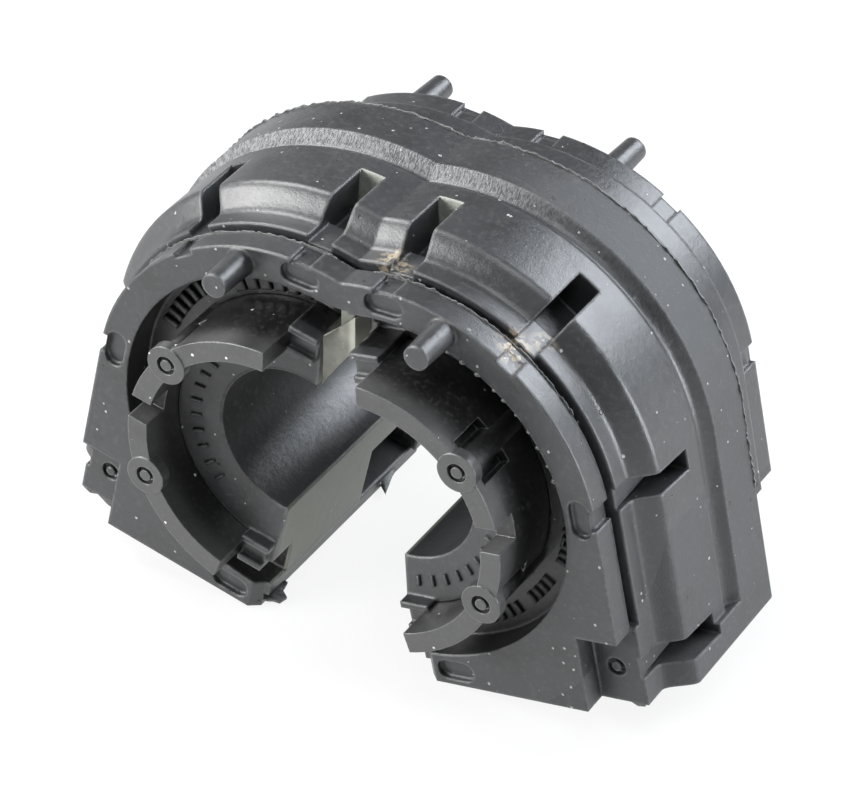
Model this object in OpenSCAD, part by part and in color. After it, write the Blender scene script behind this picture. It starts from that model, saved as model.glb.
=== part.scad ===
// Clamshell sway bar bushing as it leaves the mould: two rubber halves joined by a web at the
// top and spread apart, each with a stiff half shell moulded in. The bar runs along Y.
// The origin is on the resting surface, midway between the halves and between the end faces.

/* [Bar and lining] */
// Diameter of the bar that the two half bores hold
bar_d = 25; // [20:0.5:30]
// Rubber between the bar and the shell
lining_t = 6.7; // [4:0.1:9]
// How deep the lining's end face is dished at the bore
dish_depth = 1.5; // [0.5:0.1:3]
// How far the lining laps past the plane through the bar axis
lining_lap = 1.4; // [0.5:0.1:2.5]

/* [Half shells] */
// Wall of a half shell
shell_t = 3.2; // [2:0.1:4]
// How far a shell stands out of each end face
shell_reach = 8.3; // [6:0.1:11]
// Half the arc that a shell covers
shell_arc = 81; // [70:1:84]
// Bond line between a shell and the rubber
bond_gap = 0.1; // [0.05:0.05:0.3]
// Width of the gap in each shell collar at mid height
collar_gap = 4; // [3:0.25:6]
// How deep that gap is cut from the collar's end
collar_gap_depth = 4.5; // [2:0.5:6]
// Outer diameter of the locating bosses
boss_d = 6.2; // [5:0.1:7]
// How far a boss stands out of the collar's end
boss_proud = 0.2; // [0.1:0.1:0.6]
// Diameter of the pin inside a boss
boss_pin_d = 1.8; // [1.2:0.1:3]
// Width of the ring cut round that pin
boss_ring_w = 0.6; // [0.3:0.1:1]
// Depth of the ring cut round that pin
boss_ring_depth = 1.4; // [0.5:0.1:3]
// Diameter of the core that runs back from a boss
boss_core_d = 4.4; // [3:0.1:5]
// Angle of the upper boss above the level of the bar axis
boss_up = 31; // [20:1:45]
// Angle of the lower boss below the level of the bar axis
boss_down = 32; // [20:1:45]
// Arc of the pocket in the shell wall round a boss
boss_pocket_arc = 19; // [18:1:24]
// Thickness of the collar in front of that pocket
collar_plate_t = 1.6; // [1:0.1:3]

/* [Body] */
// Length between the two end faces
body_len = 48; // [44:1:60]
// Height of the bar axis above a half's own base
base_drop = 33.2; // [31:0.2:38]
// Width of the ring groove round a shell
groove_w = 5.9; // [4:0.1:8]
// Depth of the ring groove
groove_depth = 5.7; // [3:0.1:8]
// Rubber wall outside the ring groove
end_wall = 4.9; // [4.6:0.1:7]
// Thickness of the end flanges
flange_t = 4.1; // [3:0.1:5]
// Width of the relief cut behind an end flange
relief_w = 1; // [0.6:0.1:3]
// Depth of the relief cut behind an end flange
relief_depth = 2.5; // [1:0.1:3.5]
// How far the step behind the relief stands over the flange
step_h = 1; // [0.5:0.1:2]
// Length of that step
step_len = 2.9; // [1:0.1:4]
// Length of the rise from the step to the crown
rise_len = 3.6; // [2:0.1:5]
// How far the crown stands over the flange
crown_h = 4.4; // [3:0.1:6]
// How far the belt stands over the flange
belt_h = 5.4; // [4:0.1:7]
// Width of the hollow between crown and belt
hollow_w = 3.4; // [2:0.1:5]
// Depth of the hollow between crown and belt
hollow_depth = 1.2; // [0.4:0.1:1.5]
// Distance from the middle of the body to the belt's far edge
belt_reach = 10; // [6:0.5:11]
// Height of the plain foot under crown and hollow
foot_h = 5; // [3:0.5:8]

/* [Pockets and recesses] */
// Width of the pockets across the crown
pocket_w = 3.8; // [2.5:0.1:5]
// Width of the sloping pockets in the straight side
side_pocket_w = 3.4; // [2.5:0.1:5]
// How far the front end of a sloping pocket stands above its far end
side_pocket_lean = 1.1; // [0.5:0.1:2]
// How far the floor of a sloping pocket lies below the step
side_pocket_drop = 0.6; // [0.2:0.1:1]
// Width of the slit in that floor at its far end
slit_w = 1.7; // [1:0.1:2.5]
// How deep a pocket goes below the flange's own radius
pocket_sink = 1.9; // [1:0.1:3.5]
// Distance from the end face to a pocket's far wall
pocket_end = 19; // [17:0.5:20]
// Distance from the end face to the step inside a square pocket
pocket_step = 10.7; // [9:0.1:13]
// How far a pocket's shallow part lies below the flange's own radius
pocket_shallow = 0.2; // [0.1:0.1:0.8]
// Angle of the upper pockets and recesses
upper_angle = 81.5; // [76:0.5:83]
// Angle of the shoulder pockets and nicks
shoulder_angle = 45.5; // [40:0.5:50]
// Height of the middle pocket's far end above the level of the bar axis
side_pocket_h = -0.2; // [-1:0.1:1]
// Height of the foot pocket's far end above the base
foot_pocket_h = 5.2; // [4:0.1:9]
// Length of the slotted recesses in the end faces
recess_l = 6.2; // [4:0.1:8]
// Width of those recesses
recess_w = 3.2; // [2:0.1:3.6]
// Depth of those recesses
recess_depth = 0.9; // [0.4:0.1:2]
// Width of the nicks in the flange rim
nick_w = 3.2; // [2:0.1:5]
// Depth of the nicks in the flange rim
nick_depth = 0.8; // [0.4:0.1:1.5]
// Width of the square corner that each flange lacks
corner_w = 6.7; // [4:0.1:8]
// Height of the square corner that each flange lacks
corner_h = 12.7; // [8:0.1:15]
// How far the wall behind that corner rises past it
corner_lap = 0.6; // [0.3:0.1:1.5]
// How far the foot at the far end stands inside the flange
far_foot_in = 1; // [0.5:0.1:2]
// Height of the dimple in that wall above the base
dimple_h = 5.8; // [3:0.1:8]
// Diameter of the dimple
dimple_d = 3; // [2:0.1:4]

/* [Pegs] */
// Diameter of a peg at its root
peg_root_d = 4.4; // [3:0.1:4.8]
// Diameter of a peg at its tip
peg_tip_d = 3.8; // [3:0.1:4.4]
// Length of a peg
peg_l = 7.1; // [5:0.1:10]
// Angle of a peg round the bar axis
peg_angle = 63.5; // [58:0.5:68]

/* [Opened halves] */
// How far each half is turned out from closed
open_angle = 12; // [6:0.5:18]
// Distance of each half's bar axis from the middle plane
axis_spread = 8.7; // [7:0.1:12]
// How far the outer body laps past the plane through the bar axis
body_lap = 0.6; // [0.2:0.1:1.2]
// Cut-back of the flange's split edge
split_chamfer = 1.5; // [0.5:0.1:2.5]
// Height of the web's underside above the bar axis
web_under = 23.6; // [20:0.1:25]

// Half the thickness of the keel between the two ring grooves
keel_w = 1.1; // [0.8:0.1:2]
// How far the keel stands back from the end faces
keel_back = 2; // [1:0.1:4]
// Height of the keel's underside above the bar axis
keel_under = 20.8; // [19:0.1:25]

/* [Split face] */
// Width of the seam line under the lining's split face
seam_w = 1; // [0.5:0.1:1.5]
// Depth of the seam line and the pocket beside it
seam_depth = 6; // [3:0.5:8]
// Height of the seam line above the base
seam_h = 2.6; // [2:0.1:5]
// Length of the pocket at the far end of the seam line
seam_pocket_l = 17; // [10:0.5:18]
// Height of that pocket
seam_pocket_h = 12; // [6:0.5:13]
// Length of the lips that stand out of an end face at the shell's long edges
lip_reach = 2; // [0.5:0.1:3]
// How far the land between those lips stands out
land_reach = 1; // [0.2:0.1:2]
// Thickness of those lips
lip_t = 1; // [0.5:0.1:1.3]
// How far the lips' middles lie outside the shell's wall
lip_out = 0.3; // [0:0.1:0.6]

/* [Hidden] */
$fn = 96;

rubber = [0.16, 0.16, 0.17];
shell_plastic = [0.34, 0.34, 0.35];

bore_r = bar_d / 2;
shell_in = bore_r + lining_t;
shell_out = shell_in + shell_t;
shell_mid = (shell_in + shell_out) / 2;
groove_r = shell_out + groove_w;
flange_r = groove_r + end_wall;
step_r = flange_r + step_h;
crown_r = flange_r + crown_h;
belt_r = flange_r + belt_h;
pocket_floor_r = flange_r - pocket_sink;
front = -body_len / 2;
back = body_len / 2;
axis_h = base_drop * cos(open_angle) + body_lap * sin(open_angle);
shell_edge = shell_out * cos(shell_arc);
recess_mid_r = (groove_r + flange_r) / 2;
over = 1;
bite = 0.1;
big = 3 * (belt_r + base_drop);

// Places along Y where the outer wall changes, counted from an end face
relief_y = flange_t;
step_y = flange_t + relief_w;
rise_y = step_y + step_len;
crown_y = rise_y + rise_len;
mid_y = body_len / 2;
far_rise_y = mid_y + belt_reach;
curve_steps = 8;

function rise(t) = (1 - cos(180 * t)) / 2;
// Far end of the wall as [distance from the bar axis, distance from the front end face]
far_wall = concat(
    [for (i = [0 : curve_steps])
        [belt_r + (step_r - belt_r) * rise(i / curve_steps), far_rise_y + rise_len * i / curve_steps]],
    [[step_r, body_len - step_y], [flange_r - relief_depth, body_len - step_y]],
    [[flange_r - relief_depth, body_len - relief_y], [flange_r, body_len - relief_y], [flange_r, body_len]]
);

// The whole wall in the same form
wall = concat(
    [[flange_r, 0], [flange_r, relief_y], [flange_r - relief_depth, relief_y]],
    [[flange_r - relief_depth, step_y], [step_r, step_y]],
    [for (i = [0 : curve_steps])
        [step_r + (crown_r - step_r) * rise(i / curve_steps), rise_y + rise_len * i / curve_steps]],
    [for (i = [0 : curve_steps])
        [crown_r + (belt_r - crown_r) * rise(i / curve_steps) - hollow_depth * sin(180 * i / curve_steps),
         mid_y + hollow_w * (i / curve_steps - 0.5)]],
    far_wall
);

// Wall at the foot, where neither relief cuts nor the hollow reach
foot_wall = concat(
    [[flange_r, 0], [flange_r, relief_y - bite], [step_r, relief_y - bite], [step_r, rise_y]],
    [for (i = [0 : curve_steps])
        [step_r + (belt_r - step_r) * rise(i / curve_steps), rise_y + rise_len * i / curve_steps]],
    [for (i = [0 : curve_steps])
        [belt_r + (step_r - belt_r) * rise(i / curve_steps), far_rise_y + rise_len * i / curve_steps]],
    [[step_r, body_len - relief_y + bite], [flange_r, body_len - relief_y + bite], [flange_r, body_len]]
);

// Places its children in the right half's own frame: bar axis at the origin, +X outward
module right_half() {
    translate([axis_spread, 0, axis_h])
        rotate([0, -open_angle, 0])
            children();
}

module both_halves() {
    right_half() children();
    mirror([1, 0, 0]) right_half() children();
}

module both_ends() {
    children();
    mirror([0, 1, 0]) children();
}

// Turns a profile of [radius, distance from the front end face] round the bar axis
module turned(profile) {
    translate([0, front, 0])
        rotate([-90, 0, 0])
            rotate_extrude()
                polygon(profile);
}

// A straight stretch of wall between two heights
module straight(profile, from_z, to_z) {
    translate([0, front, from_z])
        linear_extrude(height = to_z - from_z)
            polygon(concat([[-lining_lap, 0]], profile, [[-lining_lap, body_len]]));
}

// A ring about the bar axis
module ring(inner, outer, from_y, to_y) {
    translate([0, from_y, 0])
        rotate([-90, 0, 0])
            difference() {
                cylinder(r = outer, h = to_y - from_y);
                translate([0, 0, -over])
                    cylinder(r = inner, h = to_y - from_y + 2 * over);
            }
}

// A box given by two opposite corners
module block(low, high) {
    translate(low)
        cube(high - low);
}

module half_outline() {
    intersection() {
        turned(concat([[0, 0]], wall, [[0, body_len]]));
        block([-big, -big, 0], [big, big, big]);
    }
    straight(wall, -base_drop + foot_h - over, 0);
    straight(foot_wall, -base_drop, -base_drop + foot_h);
    // Bridges that close the relief in front of the square pockets
    for (angle = [shoulder_angle, upper_angle])
        rotate([0, -angle, 0])
            both_ends()
                block([flange_r - relief_depth - over, front + relief_y - over / 2, -pocket_w / 2],
                      [flange_r - nick_depth, front + step_y + over / 2, pocket_w / 2]);
    // Solid corner behind the flange's missing square corner
    block([flange_r - corner_w, front + relief_y - bite, -base_drop],
          [step_r, front + step_y + bite, -base_drop + corner_h + corner_lap]);
}

// Two lips and the land between them past each long edge of the shell, on both end faces
module lips() {
    inner = shell_in - lip_out;
    outer = shell_out + lip_out;
    for (side = [-1, 1])
        both_ends() {
            split = side > 0 ? bite - lining_lap : -body_lap;
            lip(bite - lining_lap, side * inner, lip_t, lip_reach, over);
            lip(split, side * outer, lip_t, lip_reach, over);
            lip(split, side * (outer - lip_t / 4), 3 * lip_t / 2, 0, groove_depth + over);
            lip(split, side * shell_mid, shell_t, land_reach, over);
        }
}

module lip(split, height, thickness, reach, depth) {
    block([split, front - reach, height - thickness / 2],
          [shell_edge - bond_gap, front + depth, height + thickness / 2]);
}

// The right half with its own cuts, up to the middle plane
module half_body() {
    intersection() {
        block([0, -big, -big], [big, big, big]);
        difference() {
            right_half()
                difference() {
                    half_outline();
                    half_cuts();
                }
            // The gap between the halves, up to the web
            intersection() {
                right_half() block([-big, -big, -big], [-lining_lap, big, big]);
                block([-big, -big, -big], [big, big, axis_h + web_under]);
            }
            // End cuts stop at the keel in the middle plane
            intersection() {
                right_half() both_ends() end_cuts();
                block([keel_w, -big, -big], [big, big, big]);
            }
        }
    }
}

// A square pocket across the crown with a floor that steps down
module square_pocket(angle) {
    shallow_r = flange_r - pocket_shallow;
    rotate([0, -angle, 0])
        translate([0, front, -pocket_w / 2])
            linear_extrude(height = pocket_w)
                polygon([[belt_r + over, step_y - over / 2], [shallow_r, step_y - over / 2],
                         [shallow_r, pocket_step], [pocket_floor_r, pocket_step],
                         [pocket_floor_r, pocket_end], [belt_r + over, pocket_end]]);
}

// A sloping pocket in the straight side, with a slit along the low edge of its floor
module side_pocket(height) {
    low = height - side_pocket_w / 2;
    side_prism(step_r - side_pocket_drop, belt_r + over)
        polygon([[relief_y - over / 2, low + side_pocket_lean], [pocket_end, low],
                 [pocket_end, low + side_pocket_w], [relief_y - over / 2, low + side_pocket_lean + side_pocket_w]]);
    side_prism(pocket_floor_r, belt_r)
        polygon([[relief_y + over / 4, low + side_pocket_lean], [pocket_end, low], [pocket_end, low + slit_w]]);
}

// Stands an outline of [distance from the front end face, height] out between two distances from the axis
module side_prism(from_x, to_x) {
    translate([from_x, front, 0])
        rotate([90, 0, 90])
            linear_extrude(height = to_x - from_x)
                children();
}

module pockets() {
    square_pocket(upper_angle);
    square_pocket(shoulder_angle);
    side_pocket(side_pocket_h);
    side_pocket(foot_pocket_h - base_drop);
}

// A slotted recess in an end face, long side along the rim
module recess() {
    translate([recess_mid_r, front - over, 0])
        rotate([-90, 0, 0])
            linear_extrude(height = recess_depth + over) {
                square([recess_w, recess_l - recess_w], center = true);
                for (side = [-1, 1])
                    translate([0, side * (recess_l - recess_w) / 2])
                        circle(d = recess_w, $fn = 32);
            }
}

// A nick in the flange rim
module nick() {
    block([flange_r - nick_depth, front - over, -nick_w / 2],
          [flange_r + over, front + flange_t + relief_w / 4, nick_w / 2]);
}

module end_cuts() {
    ring(shell_out, groove_r, front - over, front + groove_depth);
    // Dished face of the lining
    translate([0, front - bite, 0])
        rotate([-90, 0, 0])
            cylinder(r1 = shell_in + bite * lining_t / dish_depth, r2 = bore_r, h = dish_depth + bite);
    for (angle = [0, shoulder_angle, upper_angle])
        rotate([0, -angle, 0])
            nick();
    for (angle = [0, upper_angle])
        rotate([0, -angle, 0])
            recess();
    translate([recess_l / 2 + split_chamfer, 0, flange_r - base_drop])
        rotate([0, 90, 0])
            recess();
    // Square corner at the foot of the flange
    block([flange_r - corner_w, front - over, -base_drop - over],
          [belt_r + over, front + relief_y, -base_drop + corner_h]);
    // Dimple in the wall behind it
    translate([flange_r - corner_w / 2, front + relief_y - over, -base_drop + dimple_h])
        rotate([-90, 0, 0])
            difference() {
                cylinder(d = dimple_d, h = 2 * over, $fn = 32);
                cylinder(d = dimple_d / 2, h = 2 * over, $fn = 32);
            }
    // Cut-back split edge of the flange
    translate([0, front, -base_drop - over])
        linear_extrude(height = base_drop - shell_out + over)
            polygon([[-lining_lap - over, -over], [split_chamfer - body_lap + over, -over],
                     [-body_lap, split_chamfer], [-lining_lap - over, split_chamfer]]);
}

// Seam line and pocket in the lower split face
module split_cuts() {
    seam_z = -base_drop + seam_h;
    pocket_from = back - relief_y - seam_pocket_l;
    // Outer lip below the seam stands back a little
    block([-lining_lap - over, -big, -base_drop - over], [-body_lap, big, seam_z]);
    block([-lining_lap - over, front + groove_depth, seam_z],
          [seam_depth, pocket_from + over, seam_z + seam_w]);
    block([-lining_lap - over, pocket_from, seam_z],
          [seam_depth, pocket_from + seam_pocket_l, seam_z + seam_pocket_h]);
}

// The shell's own space, shared by the shell and its seat
module shell_wedge(arc) {
    intersection() {
        children();
        rotate([90, 0, 0])
            linear_extrude(height = big, center = true)
                polygon([[0, 0], [big * cos(arc), big * sin(arc)], [2 * big, 0],
                         [big * cos(arc), -big * sin(arc)]]);
    }
}

module half_cuts() {
    translate([0, -big / 2, 0])
        rotate([-90, 0, 0])
            cylinder(r = bore_r, h = big);
    shell_wedge(shell_arc)
        ring(shell_in - bond_gap, shell_out + bond_gap, -big / 2, big / 2);
    pockets();
    split_cuts();
    // Foot at the far end, set back below the missing corner
    block([flange_r - far_foot_in, front + far_rise_y + rise_len, -base_drop - over],
          [belt_r + over, back + over, -base_drop + corner_h]);
}

module peg() {
    rotate([0, -peg_angle, 0])
        translate([recess_mid_r, front + over, 0])
            rotate([90, 0, 0])
                cylinder(d1 = peg_root_d, d2 = peg_tip_d, h = peg_l + over, $fn = 48);
}

module rubber_body() {
    color(rubber) {
        difference() {
            union() {
                half_body();
                mirror([1, 0, 0]) half_body();
            }
            both_ends()
                block([-keel_w - bite, front - over, 0],
                      [keel_w + bite, front + keel_back, axis_h + groove_r * cos(open_angle)]);
        }
        both_ends()
            block([-keel_w, front + keel_back, axis_h + keel_under],
                  [keel_w, front + groove_depth + over, axis_h + web_under + over]);
        both_halves() {
            both_ends() peg();
            lips();
        }
    }
}

// One half shell in the half's own frame
module shell() {
    tip = front - shell_reach;
    difference() {
        union() {
            shell_wedge(shell_arc)
                ring(shell_in, shell_out, tip, -tip);
            for (angle = [boss_up, -boss_down])
                rotate([0, -angle, 0])
                    both_ends()
                        translate([shell_mid, tip - boss_proud, 0])
                            rotate([-90, 0, 0])
                                cylinder(d = boss_d, h = boss_proud + collar_plate_t, $fn = 48);
        }
        both_ends() {
            block([0, tip - over, -collar_gap / 2], [big, tip + collar_gap_depth, collar_gap / 2]);
            for (angle = [boss_up, -boss_down])
                rotate([0, -angle, 0])
                    boss_cuts(tip);
        }
    }
    for (angle = [boss_up, -boss_down])
        rotate([0, -angle, 0])
            both_ends()
                boss_core(tip);
}

// Ring round the pin of a boss, and the pocket in the shell wall beside the boss
module boss_cuts(tip) {
    translate([shell_mid, tip - boss_proud - over, 0])
        rotate([-90, 0, 0])
            difference() {
                cylinder(d = boss_pin_d + 2 * boss_ring_w, h = boss_ring_depth + over, $fn = 48);
                cylinder(d = boss_pin_d, h = boss_ring_depth + over, $fn = 48);
            }
    shell_wedge(boss_pocket_arc / 2)
        ring(shell_mid, shell_out + over, tip + collar_plate_t, front);
}

// Core that runs back from a boss to the bottom of the ring groove
module boss_core(tip) {
    intersection() {
        translate([shell_mid, tip + collar_plate_t - over / 2, 0])
            rotate([-90, 0, 0])
                cylinder(d = boss_core_d, h = front + groove_depth - bond_gap - tip - collar_plate_t + over / 2, $fn = 48);
        block([shell_in + shell_t / 4, -big, -big], [big, big, big]);
    }
}

module right_shell() {
    color(shell_plastic)
        right_half() shell();
}

module left_shell() {
    color(shell_plastic)
        mirror([1, 0, 0]) right_half() shell();
}

rubber_body();
left_shell();
right_shell();
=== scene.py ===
"""Moulded sway bar bushing, opened: satin black rubber halves joined by a web, each with its shell."""
import math
import random

import bmesh
import bpy
from mathutils import Matrix, Vector
from mathutils.bvhtree import BVHTree


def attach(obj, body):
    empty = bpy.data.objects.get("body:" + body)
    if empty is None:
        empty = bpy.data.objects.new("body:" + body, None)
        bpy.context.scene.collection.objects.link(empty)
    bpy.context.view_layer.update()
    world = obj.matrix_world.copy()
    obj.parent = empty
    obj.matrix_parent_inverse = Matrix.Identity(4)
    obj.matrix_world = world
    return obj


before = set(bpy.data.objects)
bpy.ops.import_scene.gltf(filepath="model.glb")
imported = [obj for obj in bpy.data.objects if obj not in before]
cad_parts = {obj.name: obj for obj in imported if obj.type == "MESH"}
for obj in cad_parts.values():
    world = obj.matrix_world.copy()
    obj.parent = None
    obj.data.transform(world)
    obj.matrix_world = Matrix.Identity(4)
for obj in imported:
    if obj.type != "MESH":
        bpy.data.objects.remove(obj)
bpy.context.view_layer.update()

MM = 0.001
OPEN_ANGLE = math.radians(12)
AXIS_SPREAD = 8.7
AXIS_HEIGHT = 32.6
FRONT = 24.0
LEFT, RIGHT = -1, 1
COS_OPEN, SIN_OPEN = math.cos(OPEN_ANGLE), math.sin(OPEN_ANGLE)


class Number:
    """A number in a material. Python's operators on it add the material's Math nodes."""

    def __init__(self, finish, socket):
        self.finish = finish
        self.socket = socket

    def _with(self, operation, *others):
        values = {i: v for i, v in enumerate((self,) + others)}
        return self.finish.node("ShaderNodeMath", {"operation": operation}, values).number()

    def __add__(self, other):
        return self._with("ADD", other)

    __radd__ = __add__

    def __mul__(self, other):
        return self._with("MULTIPLY", other)

    __rmul__ = __mul__

    def __sub__(self, other):
        return self._with("SUBTRACT", other)

    def __rsub__(self, other):
        return self * -1 + other

    def __truediv__(self, other):
        return self._with("DIVIDE", other)

    def __abs__(self):
        return self._with("ABSOLUTE")

    def root(self):
        return self._with("SQRT")

    def most(self, other):
        return self._with("MAXIMUM", other)

    def above(self, edge, width):
        """0 below the edge and 1 above it, smooth over the width."""
        return self.finish.node(
            "ShaderNodeMapRange", {"interpolation_type": "SMOOTHSTEP"},
            {0: self, 1: edge - width / 2, 2: edge + width / 2}).number()

    def between(self, low, high, width):
        return self.above(low, width) * (1 - self.above(high, width))


class Added:
    """A node that was added to a finish."""

    def __init__(self, finish, node):
        self.finish = finish
        self.node = node

    def out(self, name=0):
        return self.node.outputs[name]

    def number(self, name=0):
        return Number(self.finish, self.node.outputs[name])


class Finish:
    """A material built up node by node on a Principled shader."""

    def __init__(self, name):
        self.material = bpy.data.materials.new(name)
        self.material.use_nodes = True
        self.tree = self.material.node_tree
        self.shader = self.tree.nodes["Principled BSDF"]
        self.place = self.node("ShaderNodeTexCoord").out("Object")

    def node(self, kind, settings=None, values=None):
        node = self.tree.nodes.new(kind)
        for key, value in (settings or {}).items():
            setattr(node, key, value)
        for key, value in (values or {}).items():
            self.feed(node.inputs[key], value)
        return Added(self, node)

    def feed(self, socket, value):
        if isinstance(value, Number):
            value = value.socket
        if isinstance(value, bpy.types.NodeSocket):
            self.tree.links.new(value, socket)
        else:
            socket.default_value = value

    def set(self, **values):
        for name, value in values.items():
            self.feed(self.shader.inputs[name.replace("_", " ")], value)

    def noise(self, size, detail=3.0, rough=0.55, place=None):
        """Noise from 0 to 1 whose features are about as large as the size, in metres."""
        return self.node(
            "ShaderNodeTexNoise", {},
            {"Vector": place or self.place, "Scale": 1 / size, "Detail": detail, "Roughness": rough}).number(0)

    def blend(self, amount, first, second):
        """A colour between two."""
        added = self.node("ShaderNodeMix", {"data_type": "RGBA"}, {0: amount, 6: first, 7: second})
        return added.out(2)

    def bump(self, height, distance, strength=1.0, normal=None):
        values = {"Height": height, "Distance": distance, "Strength": strength}
        if normal:
            values["Normal"] = normal
        return self.node("ShaderNodeBump", {}, values).out()

    def stretched(self, x, y, z):
        """The place, drawn out along each axis by its factor, for marks that run one way."""
        return self.node("ShaderNodeMapping", {}, {0: self.place, 3: (1 / x, 1 / y, 1 / z)}).out()

    def rounded(self, radius):
        """Normals that look rounded over the edges, and how near an edge each point is, from 0 to 1."""
        bevel = self.node("ShaderNodeBevel", {"samples": 6}, {"Radius": radius}).out()
        true = self.node("ShaderNodeNewGeometry").out("Normal")
        along = self.node("ShaderNodeVectorMath", {"operation": "DOT_PRODUCT"}, {0: bevel, 1: true}).number("Value")
        return bevel, (1 - along).above(0.06, 0.1)


class Place:
    """Where a point lies, in millimetres: in the object's frame and in its own half's frame."""

    def __init__(self, finish):
        parts = finish.node("ShaderNodeSeparateXYZ", {}, {0: finish.place})
        self.finish = finish
        self.across = parts.number(0) / MM
        self.back = parts.number(1) / MM + FRONT
        self.height = parts.number(2) / MM - AXIS_HEIGHT
        spread = abs(self.across) - AXIS_SPREAD
        self.out = spread * COS_OPEN + self.height * SIN_OPEN
        self.up = self.height * COS_OPEN - spread * SIN_OPEN
        self.radius = (self.out * self.out + self.up * self.up).root()

    def near(self, x, y, z, reach):
        """1 at a point of the object's frame, falling to 0 at the reach."""
        a, b, c = self.across - x, self.back - y, self.height - z
        return 1 - ((a * a + b * b + c * c).root() / reach).above(0.6, 0.8)


def grey(level, warm=0.0):
    return (level * (1 + warm), level, level * (1 - warm), 1)


def specks(finish, spacing, radius, share):
    """1 on round specks of a given spacing and radius, on a share of the cells."""
    cells = finish.node("ShaderNodeTexVoronoi", {"feature": "F1"}, {"Vector": finish.place, "Scale": 1 / spacing})
    chosen = finish.node("ShaderNodeSeparateColor", {}, {0: cells.out("Color")})
    size = chosen.number(1) * (radius / spacing) + 0.3 * radius / spacing
    dot = 1 - (cells.number("Distance") / (size * (finish.noise(radius, 1) * 1.2 + 0.4))).above(1.0, 0.4)
    return dot * chosen.number(0).above(1 - share, 0.01)


def make_rubber():
    finish = Finish("moulded_rubber")
    place = Place(finish)
    mottling = finish.noise(9 * MM, 4)
    dents = finish.noise(2.4 * MM, 2)
    fine = finish.noise(0.9 * MM, 4)
    grain = finish.noise(0.28 * MM, 3)
    dust = specks(finish, 1.7 * MM, 0.19 * MM, 0.34).most(specks(finish, 5.2 * MM, 0.34 * MM, 0.14))
    pits = specks(finish, 3.1 * MM, 0.3 * MM, 0.2)
    drawn = finish.noise(0.22 * MM, 3, place=finish.stretched(1, 6, 3))
    normal, edge = finish.rounded(0.7 * MM)
    riser = place.radius.above(34.2, 0.4) * place.back.between(23.9, 25.9, 0.5) * place.up.above(10, 16)
    riser = riser * (1 - place.across.above(14, 22) * 0.85)
    belt = place.radius.above(38.3, 0.3) * place.across.above(14, 20)
    bore = (1 - place.radius.above(12.9, 0.3)) * place.up.above(-6, 10)
    # Painted highlight: light grain painted on the top of the belt's riser, faded over the right half where the riser
    # is in shade, and on the upper bore.
    painted_grain_highlight = riser * drawn.above(0.5, 0.2) + bore * fine.above(0.56, 0.2) * mottling.above(0.5, 0.3) * 0.25
    film = (1 - place.out.above(-0.95, 0.3)) * abs(place.up).between(12.3, 28.5, 1.2) * place.back.above(1.5, 1)
    # Painted highlight: the far walls of the top pockets are painted light greenish grey, mottled, where they face the
    # light.
    far_wall_highlight = ((1 - abs(place.out - place.up * 0.15).above(2.0, 0.3)) * place.back.between(18.6, 19.2, 0.1)
             * place.up.above(28, 1))
    residue = place.near(25, 4.2, 27.6, 4).most(place.near(4.6, 7, 32.6, 3.4)).most(place.near(27.5, 8.6, 26.5, 2.8))
    residue = residue * finish.noise(1.1 * MM, 3).above(0.5, 0.1)
    groove = place.radius.between(20.4, 28.5, 0.3) * place.back.between(0.3, 6.2, 0.4)
    colour = finish.blend(mottling.between(0.35, 1.2, 0.4), grey(0.018), (0.029, 0.03, 0.032, 1))
    # Painted shade: the front groove's walls and floor and the upper bore are painted near-black, where they lie in
    # shadow.
    colour = finish.blend(groove.most(bore) * 0.85, colour, grey(0.005))
    colour = finish.blend(fine.above(0.6, 0.2) * 0.35, colour, grey(0.065))
    # Painted highlight and dust: edges are painted lighter where the bevel rounds them.
    colour = finish.blend(edge * fine.above(0.4, 0.3) * 0.4, colour, grey(0.2))
    # Painted highlight: the grain mask above, painted light grey.
    colour = finish.blend(painted_grain_highlight * 0.5, colour, grey(0.3, -0.02))
    colour = finish.blend(film * (mottling * 0.5 + 0.45), colour, (0.22, 0.23, 0.19, 1))
    colour = finish.blend(far_wall_highlight * (fine * 0.8 + 0.3), colour, (0.48, 0.5, 0.44, 1))
    colour = finish.blend(residue * 0.85, colour, (0.46, 0.38, 0.26, 1))
    colour = finish.blend(pits * 0.8, colour, grey(0.008))
    colour = finish.blend(dust * 0.75, colour, grey(0.42, 0.02))
    height = dents * 0.7 + fine * 0.5 + grain * 0.4 * (belt * 1.5 + 1) + dust * 1.5 - pits * 2 + drawn * riser * 2
    matte = painted_grain_highlight * 0.1 + film * 0.12 + bore * 0.3 + belt * 0.26
    finish.set(Base_Color=colour, Roughness=mottling * 0.18 + fine * 0.12 + matte + 0.22,
               Normal=finish.bump(height, 0.11 * MM, 0.7, normal))
    finish.shader.inputs["Specular IOR Level"].default_value = 0.8
    return finish.material


def make_shell():
    finish = Finish("shell_plastic")
    place = Place(finish)
    mottling = finish.noise(5 * MM, 4)
    fine = finish.noise(0.7 * MM, 4)
    dust = specks(finish, 1.9 * MM, 0.19 * MM, 0.3)
    normal, edge = finish.rounded(0.32 * MM)
    colour = finish.blend(mottling.between(0.3, 1.2, 0.4), grey(0.028), grey(0.046))
    # Painted shade: the shell is painted near-black from 5 mm in front of the rubber's front end backwards, where it
    # sits deep in the groove.
    colour = finish.blend(place.back.above(-5, 4) * 0.9, colour, grey(0.005))
    colour = finish.blend(fine.above(0.6, 0.2) * 0.3, colour, grey(0.09))
    # Painted highlight and dust: edges are painted lighter where the bevel rounds them.
    colour = finish.blend(edge * fine.above(0.4, 0.3) * 0.5, colour, grey(0.2))
    colour = finish.blend(dust * 0.9, colour, grey(0.65, 0.02))
    finish.set(Base_Color=colour, Roughness=mottling * 0.15 + 0.26,
               Normal=finish.bump(fine * 0.6 + dust, 0.07 * MM, 0.5, normal))
    finish.shader.inputs["Specular IOR Level"].default_value = 0.9
    return finish.material


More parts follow.
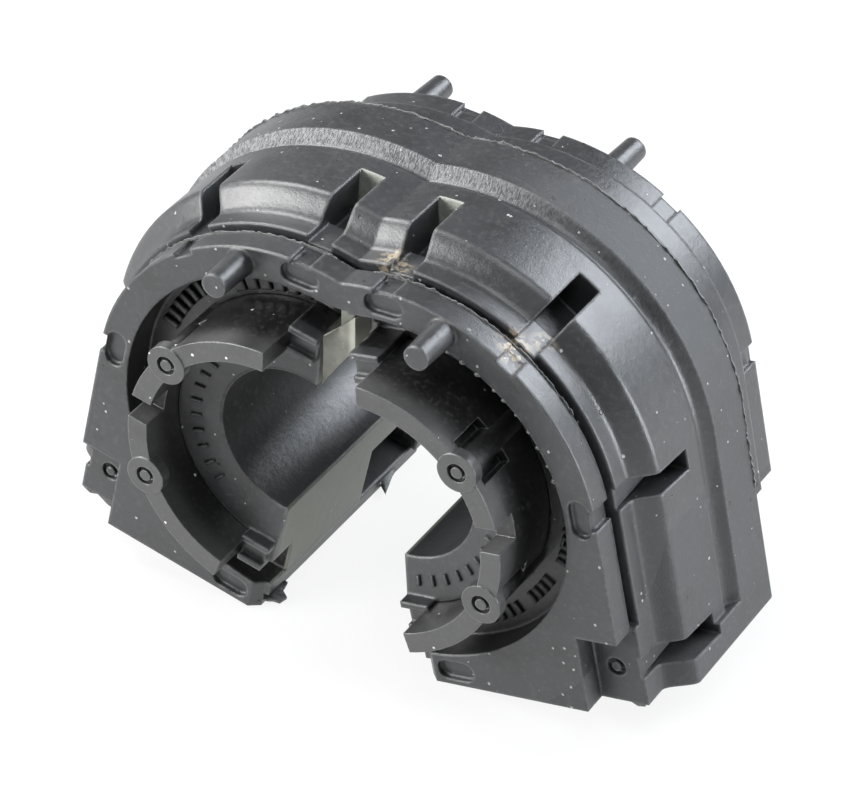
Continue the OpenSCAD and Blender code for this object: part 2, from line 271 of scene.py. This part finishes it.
def make_flash():
    """Thin rubber flash: torn, greyer and rougher than the moulded faces."""
    finish = Finish("rubber_flash")
    fine = finish.noise(0.6 * MM, 4)
    coarse = finish.noise(3 * MM, 3)
    normal, edge = finish.rounded(0.12 * MM)
    colour = finish.blend(fine.above(0.5, 0.4), grey(0.04), grey(0.11))
    # Painted highlight and dust: edges are painted lighter where the bevel rounds them.
    colour = finish.blend(edge * coarse.above(0.4, 0.3) * 0.6, colour, grey(0.3))
    finish.set(Base_Color=colour, Roughness=coarse * 0.2 + 0.35, Normal=finish.bump(fine, 0.12 * MM, 0.7, normal))
    finish.shader.inputs["Specular IOR Level"].default_value = 0.7
    return finish.material


def make_skin():
    """The stretched film at the web: smooth, with a greenish bloom, and a painted highlight over its right side."""
    finish = Finish("web_film")
    place = Place(finish)
    coarse = finish.noise(4 * MM, 3)
    fine = finish.noise(0.7 * MM, 3)
    colour = finish.blend(coarse.above(0.5, 0.5), (0.13, 0.132, 0.108, 1), (0.21, 0.21, 0.175, 1))
    # Painted highlight: the film is painted lighter over its right side, at the keel, which lies in shade.
    colour = finish.blend(place.across.above(0.6, 1) * 0.8, colour, (0.42, 0.42, 0.36, 1))
    colour = finish.blend(fine.above(0.66, 0.1) * 0.5, colour, (0.3, 0.28, 0.22, 1))
    finish.set(Base_Color=colour, Roughness=coarse * 0.15 + 0.36, Normal=finish.bump(fine, 0.05 * MM, 0.5))
    finish.shader.inputs["Specular IOR Level"].default_value = 0.7
    return finish.material


def dress(node, material):
    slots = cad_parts[node].data.materials
    slots.clear()
    slots.append(material)


rubber = make_rubber()
shell_plastic = make_shell()
flash = make_flash()
skin = make_skin()
dress("rubber_body", rubber)
dress("left_shell", shell_plastic)
dress("right_shell", shell_plastic)


def surface_of(node):
    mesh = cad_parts[node].data
    return BVHTree.FromPolygons([v.co.copy() for v in mesh.vertices], [tuple(p.vertices) for p in mesh.polygons])


body_surface = surface_of("rubber_body")


def point(side, out, back, up):
    """A point of a half's own frame, in millimetres from its axis and the front end, in metres."""
    return Vector((side * (AXIS_SPREAD + out * COS_OPEN - up * SIN_OPEN), back - FRONT,
                   AXIS_HEIGHT + out * SIN_OPEN + up * COS_OPEN)) * MM


def ring_point(side, radius, degrees, back):
    turn = math.radians(degrees)
    return point(side, radius * math.cos(turn), back, radius * math.sin(turn))


def deselect():
    bpy.ops.object.select_all(action="DESELECT")


def start(name, kind, **settings):
    """A primitive at its size and place, with the place kept in its mesh."""
    deselect()
    getattr(bpy.ops.mesh, f"primitive_{kind}_add")(**settings)
    piece = bpy.context.object
    piece.name = name
    bpy.ops.object.transform_apply(location=True, rotation=True, scale=True)
    return piece


def edit(piece, *steps):
    """Runs edit-mode steps on a piece. A step is an operator with its settings, or a test that selects faces."""
    deselect()
    piece.select_set(True)
    bpy.context.view_layer.objects.active = piece
    bpy.ops.object.mode_set(mode="EDIT")
    bpy.ops.mesh.select_mode(type="FACE")
    for step in steps:
        if callable(step):
            mesh = bmesh.from_edit_mesh(piece.data)
            for face in mesh.faces:
                face.select_set(step(face))
            mesh.select_flush_mode()
            bmesh.update_edit_mesh(piece.data)
        else:
            operator, settings = step
            operator(**settings)
    bpy.ops.object.mode_set(mode="OBJECT")


def everything(face):
    return True


def facing_up(face):
    return face.normal.z > 0.9


def apply_modifier(piece, kind, **settings):
    deselect()
    piece.select_set(True)
    bpy.context.view_layer.objects.active = piece
    modifier = piece.modifiers.new(kind.lower(), kind)
    for key, value in settings.items():
        setattr(modifier, key, value)
    bpy.ops.object.modifier_apply(modifier=modifier.name)


def copy_at(model, where):
    """A copy of a model with its own mesh, moved by a matrix."""
    piece = model.copy()
    piece.data = model.data.copy()
    piece.data.transform(where)
    bpy.context.scene.collection.objects.link(piece)
    return piece


def joined(name, pieces):
    deselect()
    for piece in pieces:
        piece.select_set(True)
    bpy.context.view_layer.objects.active = pieces[0]
    bpy.ops.object.join()
    pieces[0].name = name
    return pieces[0]


def finish_piece(piece, material, smooth=35):
    deselect()
    piece.select_set(True)
    bpy.context.view_layer.objects.active = piece
    bpy.ops.object.shade_smooth_by_angle(angle=math.radians(smooth))
    piece.data.materials.clear()
    piece.data.materials.append(material)
    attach(piece, "root")
    return piece


def discard(piece):
    bpy.data.objects.remove(piece, do_unlink=True)


def mark_matrix(side, radius, degrees, back_from=-12):
    """A place on an end-facing surface: local x round the ring, y outwards, z towards the viewer."""
    origin = ring_point(side, radius, degrees, back_from)
    hit, normal, _, _ = body_surface.ray_cast(origin, Vector((0, 1, 0)))
    outward = (ring_point(side, radius + 1, degrees, 0) - ring_point(side, radius, degrees, 0)).normalized()
    outward = (outward - normal * outward.dot(normal)).normalized()
    axes = Matrix((outward.cross(normal), outward, normal)).transposed()
    return Matrix.Translation(hit) @ axes.to_4x4()


def bar_model(name, width, length, height):
    """A raised mark with a narrower top and softened edges, standing on z = 0."""
    bar = start(name, "cube", size=1, location=(0, 0, height * 0.3 * MM),
                scale=(width * MM, length * MM, height * 1.4 * MM))
    edit(bar, facing_up,
         (bpy.ops.mesh.inset, {"thickness": 0.12 * width * MM}),
         (bpy.ops.transform.translate, {"value": (0, 0, 0.12 * height * MM)}),
         everything, (bpy.ops.mesh.bevel, {"offset": 0.06 * MM, "segments": 2, "affect": "EDGES"}))
    return bar


def add_marks(name, spots, width, length, height):
    """Plain bars on end-facing surfaces: each spot is a side, a radius, an angle and a turn of the bar."""
    model = bar_model(name + "_model", width, length, height)
    bars = [copy_at(model, mark_matrix(side, radius, degrees) @ Matrix.Rotation(math.radians(turn), 4, "Z"))
            for side, radius, degrees, turn in spots]
    discard(model)
    return finish_piece(joined(name, bars), rubber)


def add_groove_marks():
    add_marks("left_groove_pads", [(LEFT, 24.9, 50 + 5.6 * i, 0) for i in range(8)], 1.9, 3.0, 0.7)
    add_marks("left_groove_bars", [(LEFT, 25.9, 12 + 4.2 * i, 0) for i in range(6)], 0.9, 2.6, 0.6)
    add_marks("right_groove_bars",
              [(RIGHT, 25.7, 3 - 3.4 * i, 0) for i in range(10)] + [(RIGHT, 25.2, -38 - 3.6 * i, 0) for i in range(4)]
              + [(RIGHT, 25.4, -57 - 4 * i, 0) for i in range(4)], 0.55, 2.0, 0.45)
    add_marks("right_groove_crossbars",
              [(RIGHT, 25.7 + 0.7 * (-1) ** i, 1.3 - 6.8 * i, 90) for i in range(5)], 0.45, 1.4, 0.45)
    add_marks("right_cell_bars", [(RIGHT, 25, 93, 0), (RIGHT, 25, 90, 8), (RIGHT, 24.9, 82, 0), (RIGHT, 24.9, 79, 0)],
              0.5, 1.8, 0.4)


def add_lining_marks():
    left = [(LEFT, 16.4, 34 - 9.5 * i, 0) for i in range(10)]
    right = [(RIGHT, 16, -24 - 9 * i, 0) for i in range(8)]
    add_marks("left_lining_bars", left, 0.5, 1.7, 0.35)
    add_marks("right_lining_bars", right, 0.5, 1.7, 0.35)


def add_rim_beads():
    """Small drops of rubber left along the rim of the right groove."""
    draw = random.Random(5)
    bead = start("bead_model", "ico_sphere", subdivisions=2, radius=0.42 * MM)
    edit(bead, lambda face: face.calc_center_median().z < 0,
         (bpy.ops.transform.resize, {"value": (1.25, 1.1, 0.6)}))
    beads = []
    for i in range(10):
        degrees = 60 - 5.3 * i + draw.uniform(-0.8, 0.8)
        size = draw.uniform(0.7, 1.2)
        where = Matrix.Translation(ring_point(RIGHT, 28.25, degrees, 0.25))
        beads.append(copy_at(bead, where @ Matrix.Diagonal((size, size, size * 0.9, 1))))
    discard(bead)
    finish_piece(joined("groove_rim_beads", beads), flash, smooth=80)


def sheet(name, steps, rows, shape, thickness, material=None):
    """A thin sheet from a grid; the shape gives a point for each share along it and across it."""
    piece = start(name, "grid", x_subdivisions=steps, y_subdivisions=rows, size=2)
    for vertex in piece.data.vertices:
        vertex.co = shape((vertex.co.x + 1) / 2, (vertex.co.y + 1) / 2)
    apply_modifier(piece, "SOLIDIFY", thickness=thickness * MM, offset=0)
    return finish_piece(piece, material or flash, smooth=50)


def on_path(points, share):
    """The point at a share of the way along a line of points."""
    place = share * (len(points) - 1)
    i = min(int(place), len(points) - 2)
    return points[i].lerp(points[i + 1], place - i)


def patch(bottom, top, front, back):
    """A surface between four edges, each a line of points, front and back running upwards."""
    def shape(u, v):
        edges = on_path(bottom, u) * (1 - v) + on_path(top, u) * v + on_path(front, v) * (1 - u) + on_path(back, v) * u
        corners = (bottom[0] * (1 - u) + bottom[-1] * u) * (1 - v) + (top[0] * (1 - u) + top[-1] * u) * v
        return edges - corners
    return shape


def at(across, back, height):
    """A point of the object's frame, in millimetres from the middle, the front end and the axes."""
    return Vector((across, back - FRONT, height + AXIS_HEIGHT)) * MM


def add_web_film():
    """The moulding skin that closes the web's gap, from the left half's split to the keel's far side."""
    low = [at(-5.0, 3.2, 11.2), at(-1.5, 1.5, 16.4), at(1.3, 1.7, 20.2), at(1.22, 5.6, 20.4)]
    high = [at(-2.7, -0.4, 22.3), at(-1.1, 1.4, 23.4), at(1.3, 1.7, 25.7), at(1.22, 5.6, 24.9)]
    sheet("web_film", 30, 24, patch(low, high, [low[0], high[0]], [low[-1], high[-1]]), 0.3, skin)


def ragged(draw, count, low, high):
    """Heights along a torn edge: slow waves with a few higher scraps."""
    heights = [draw.uniform(low, high) for _ in range(count + 1)]
    for _ in range(count // 6):
        heights[draw.randrange(count)] += draw.uniform(0.2, 0.5) * (high - low)
    def height(share):
        place = share * count
        i = min(int(place), count - 1)
        return heights[i] + (heights[i + 1] - heights[i]) * (place - i)
    return height


def add_belt_fin(name, side, seed):
    """The torn parting-line fin along the far edge of the belt, round one half."""
    draw = random.Random(seed)
    height = ragged(draw, 170, 0.02, 0.34)
    sway = ragged(draw, 60, -0.15, 0.15)

    def shape(u, v):
        if u < 0.8:
            degrees = 90.5 * (1 - u / 0.8)
            base = ring_point(side, 38.3, degrees, 33.9)
            tip = ring_point(side, 38.6 + height(u), degrees, 33.95 + sway(u))
        else:
            drop = (u - 0.8) / 0.2 * 14
            base = point(side, 38.3, 33.9, -drop)
            tip = point(side, 38.6 + height(u), 33.95 + sway(u), -drop)
        return base.lerp(tip, v)
    sheet(name, 400, 2, shape, 0.25)


def add_flange_fin(name, side, seed):
    """The fine flash line along the back edge of the front flange, over the top of one half."""
    draw = random.Random(seed)
    height = ragged(draw, 90, 0.0, 0.3)

    def shape(u, v):
        degrees = 88 - 62 * u
        return ring_point(side, 33.0, degrees, 4.0).lerp(ring_point(side, 33.25 + height(u), degrees, 4.1), v)
    sheet(name, 240, 2, shape, 0.18)


def add_flap(name, root, outline, thickness, steps=30):
    """A torn flap from its root to its torn edge, each a line of points."""
    sheet(name, steps, 3, lambda u, v: on_path(root, u).lerp(on_path(outline, u), v), thickness)


def add_flaps():
    """Torn flash at the outer corners of the front end and under the left half's split."""
    add_flap("left_corner_flap", [at(-48.6, 4.7, -24.0), at(-43.6, 4.7, -25.6)],
             [at(-49.0, 4.7, -24.8), at(-48.8, 4.6, -25.7), at(-47.6, 4.5, -26.3), at(-46.3, 4.7, -26.1),
              at(-45.2, 4.6, -26.8), at(-44.4, 4.5, -27.3), at(-43.6, 4.7, -27.8)], 0.9)
    add_flap("right_foot_flap", [at(41.6, 4.6, -25.6), at(48.3, 4.6, -24.6)],
             [at(41.6, 4.6, -26.3), at(42.6, 4.5, -26.7), at(43.6, 4.6, -26.3), at(46.2, 4.6, -26.0),
              at(47.4, 4.5, -26.3), at(48.4, 4.6, -26.0), at(48.6, 4.6, -25.0)], 0.8)
    add_flap("back_split_scrap", [at(-14.9, 33.2, -31.2), at(-14.8, 39.5, -31.2)],
             [at(-15.0, 33.2, -31.6), at(-14.7, 34.6, -31.6), at(-14.2, 34.9, -31.7), at(-12.8, 33.5, -31.8),
              at(-13.4, 35.4, -31.7), at(-14.1, 37.4, -31.6), at(-14.6, 39.5, -31.6)], 0.35)
    add_flap("front_split_scrap", [at(-15.2, 1.0, -31.4), at(-15.0, 7.0, -31.4)],
             [at(-15.3, 1.6, -31.5), at(-14.2, 1.9, -31.7), at(-13.4, 2.4, -31.7), at(-12.4, 2.6, -31.8),
              at(-12.1, 4.1, -31.8), at(-13.4, 5.0, -31.7), at(-13.8, 7.0, -31.6)], 0.4)


add_groove_marks()
add_lining_marks()
add_rim_beads()
add_web_film()
add_belt_fin("left_belt_fin", LEFT, 21)
add_belt_fin("right_belt_fin", RIGHT, 22)
add_flange_fin("left_flange_fin", LEFT, 31)
add_flange_fin("right_flange_fin", RIGHT, 32)
add_flaps()


def add_camera():
    """The photograph's own view, fitted to the object: focal length, place and turn."""
    right = Vector((0.8583, 0.5131, 0.0119)).normalized()
    up = Vector((-0.3112, 0.5018, 0.8072))
    up = (up - right * up.dot(right)).normalized()
    back = right.cross(up)
    eye = right * 12.82 + up * 9.785 + back * 563.35
    eye = (eye + Vector((0, -FRONT, AXIS_HEIGHT))) * MM
    data = bpy.data.cameras.new("camera")
    data.sensor_fit = "HORIZONTAL"
    data.sensor_width = 36
    data.lens = 36 * 7 * 563.35 / 861
    data.clip_start = 0.05
    data.clip_end = 20
    camera = bpy.data.objects.new("camera", data)
    turn = Matrix((right, up, back)).transposed().to_4x4()
    camera.matrix_world = Matrix.Translation(eye) @ turn
    bpy.context.scene.collection.objects.link(camera)
    bpy.context.scene.camera = camera


def add_softbox(name, direction, distance, width, height, power, colour=(1, 1, 1)):
    data = bpy.data.lights.new(name, "AREA")
    data.shape = "RECTANGLE"
    data.size = width
    data.size_y = height
    data.energy = power
    data.color = colour
    lamp = bpy.data.objects.new(name, data)
    place = Vector(direction).normalized() * distance + Vector((0, 0, 0.035))
    lamp.matrix_world = Matrix.Translation(place) @ Vector(direction).to_track_quat("Z", "Y").to_matrix().to_4x4()
    bpy.context.scene.collection.objects.link(lamp)


def add_floor():
    floor = start("floor", "plane", size=8, location=(0, 0, 0))
    finish = Finish("white_floor")
    finish.set(Base_Color=grey(0.86), Roughness=0.9)
    finish.shader.inputs["Specular IOR Level"].default_value = 0
    rays = finish.node("ShaderNodeLightPath")
    glow = finish.node("ShaderNodeEmission", {}, {"Color": (1, 1, 1, 1), "Strength": 1.0}).out()
    mixed = finish.node("ShaderNodeMixShader", {}, {
        0: rays.number("Is Camera Ray") * 0.86 + rays.number("Is Glossy Ray") * 0.86,
        1: finish.shader.outputs[0], 2: glow})
    finish.tree.links.new(mixed.out(), finish.tree.nodes["Material Output"].inputs[0])
    floor.data.materials.append(finish.material)


def light_scene():
    world = bpy.data.worlds.new("studio")
    bpy.context.scene.world = world
    world.use_nodes = True
    tree = world.node_tree
    sky = tree.nodes["Background"]
    sky.inputs[0].default_value = (1, 1, 1, 1)
    sky.inputs[1].default_value = 0.12
    add_softbox("key", (-0.66, 0.1, 0.74), 0.6, 0.3, 0.35, 4.3)
    add_softbox("front", (-0.66, -0.62, 0.34), 0.6, 0.5, 0.2, 5.2)
    add_softbox("back", (0.42, 0.69, 0.56), 0.6, 0.4, 0.3, 3.9, (0.88, 0.93, 1.0))
    add_softbox("top", (0.2, -0.3, 0.93), 0.6, 0.3, 0.3, 1.3, (0.93, 0.96, 1.0))
    add_softbox("side", (0.95, 0.2, 0.15), 0.6, 0.2, 0.3, 3.5, (0.93, 0.96, 1.0))
    bpy.context.scene.view_settings.view_transform = "Standard"


add_camera()
add_floor()
light_scene()
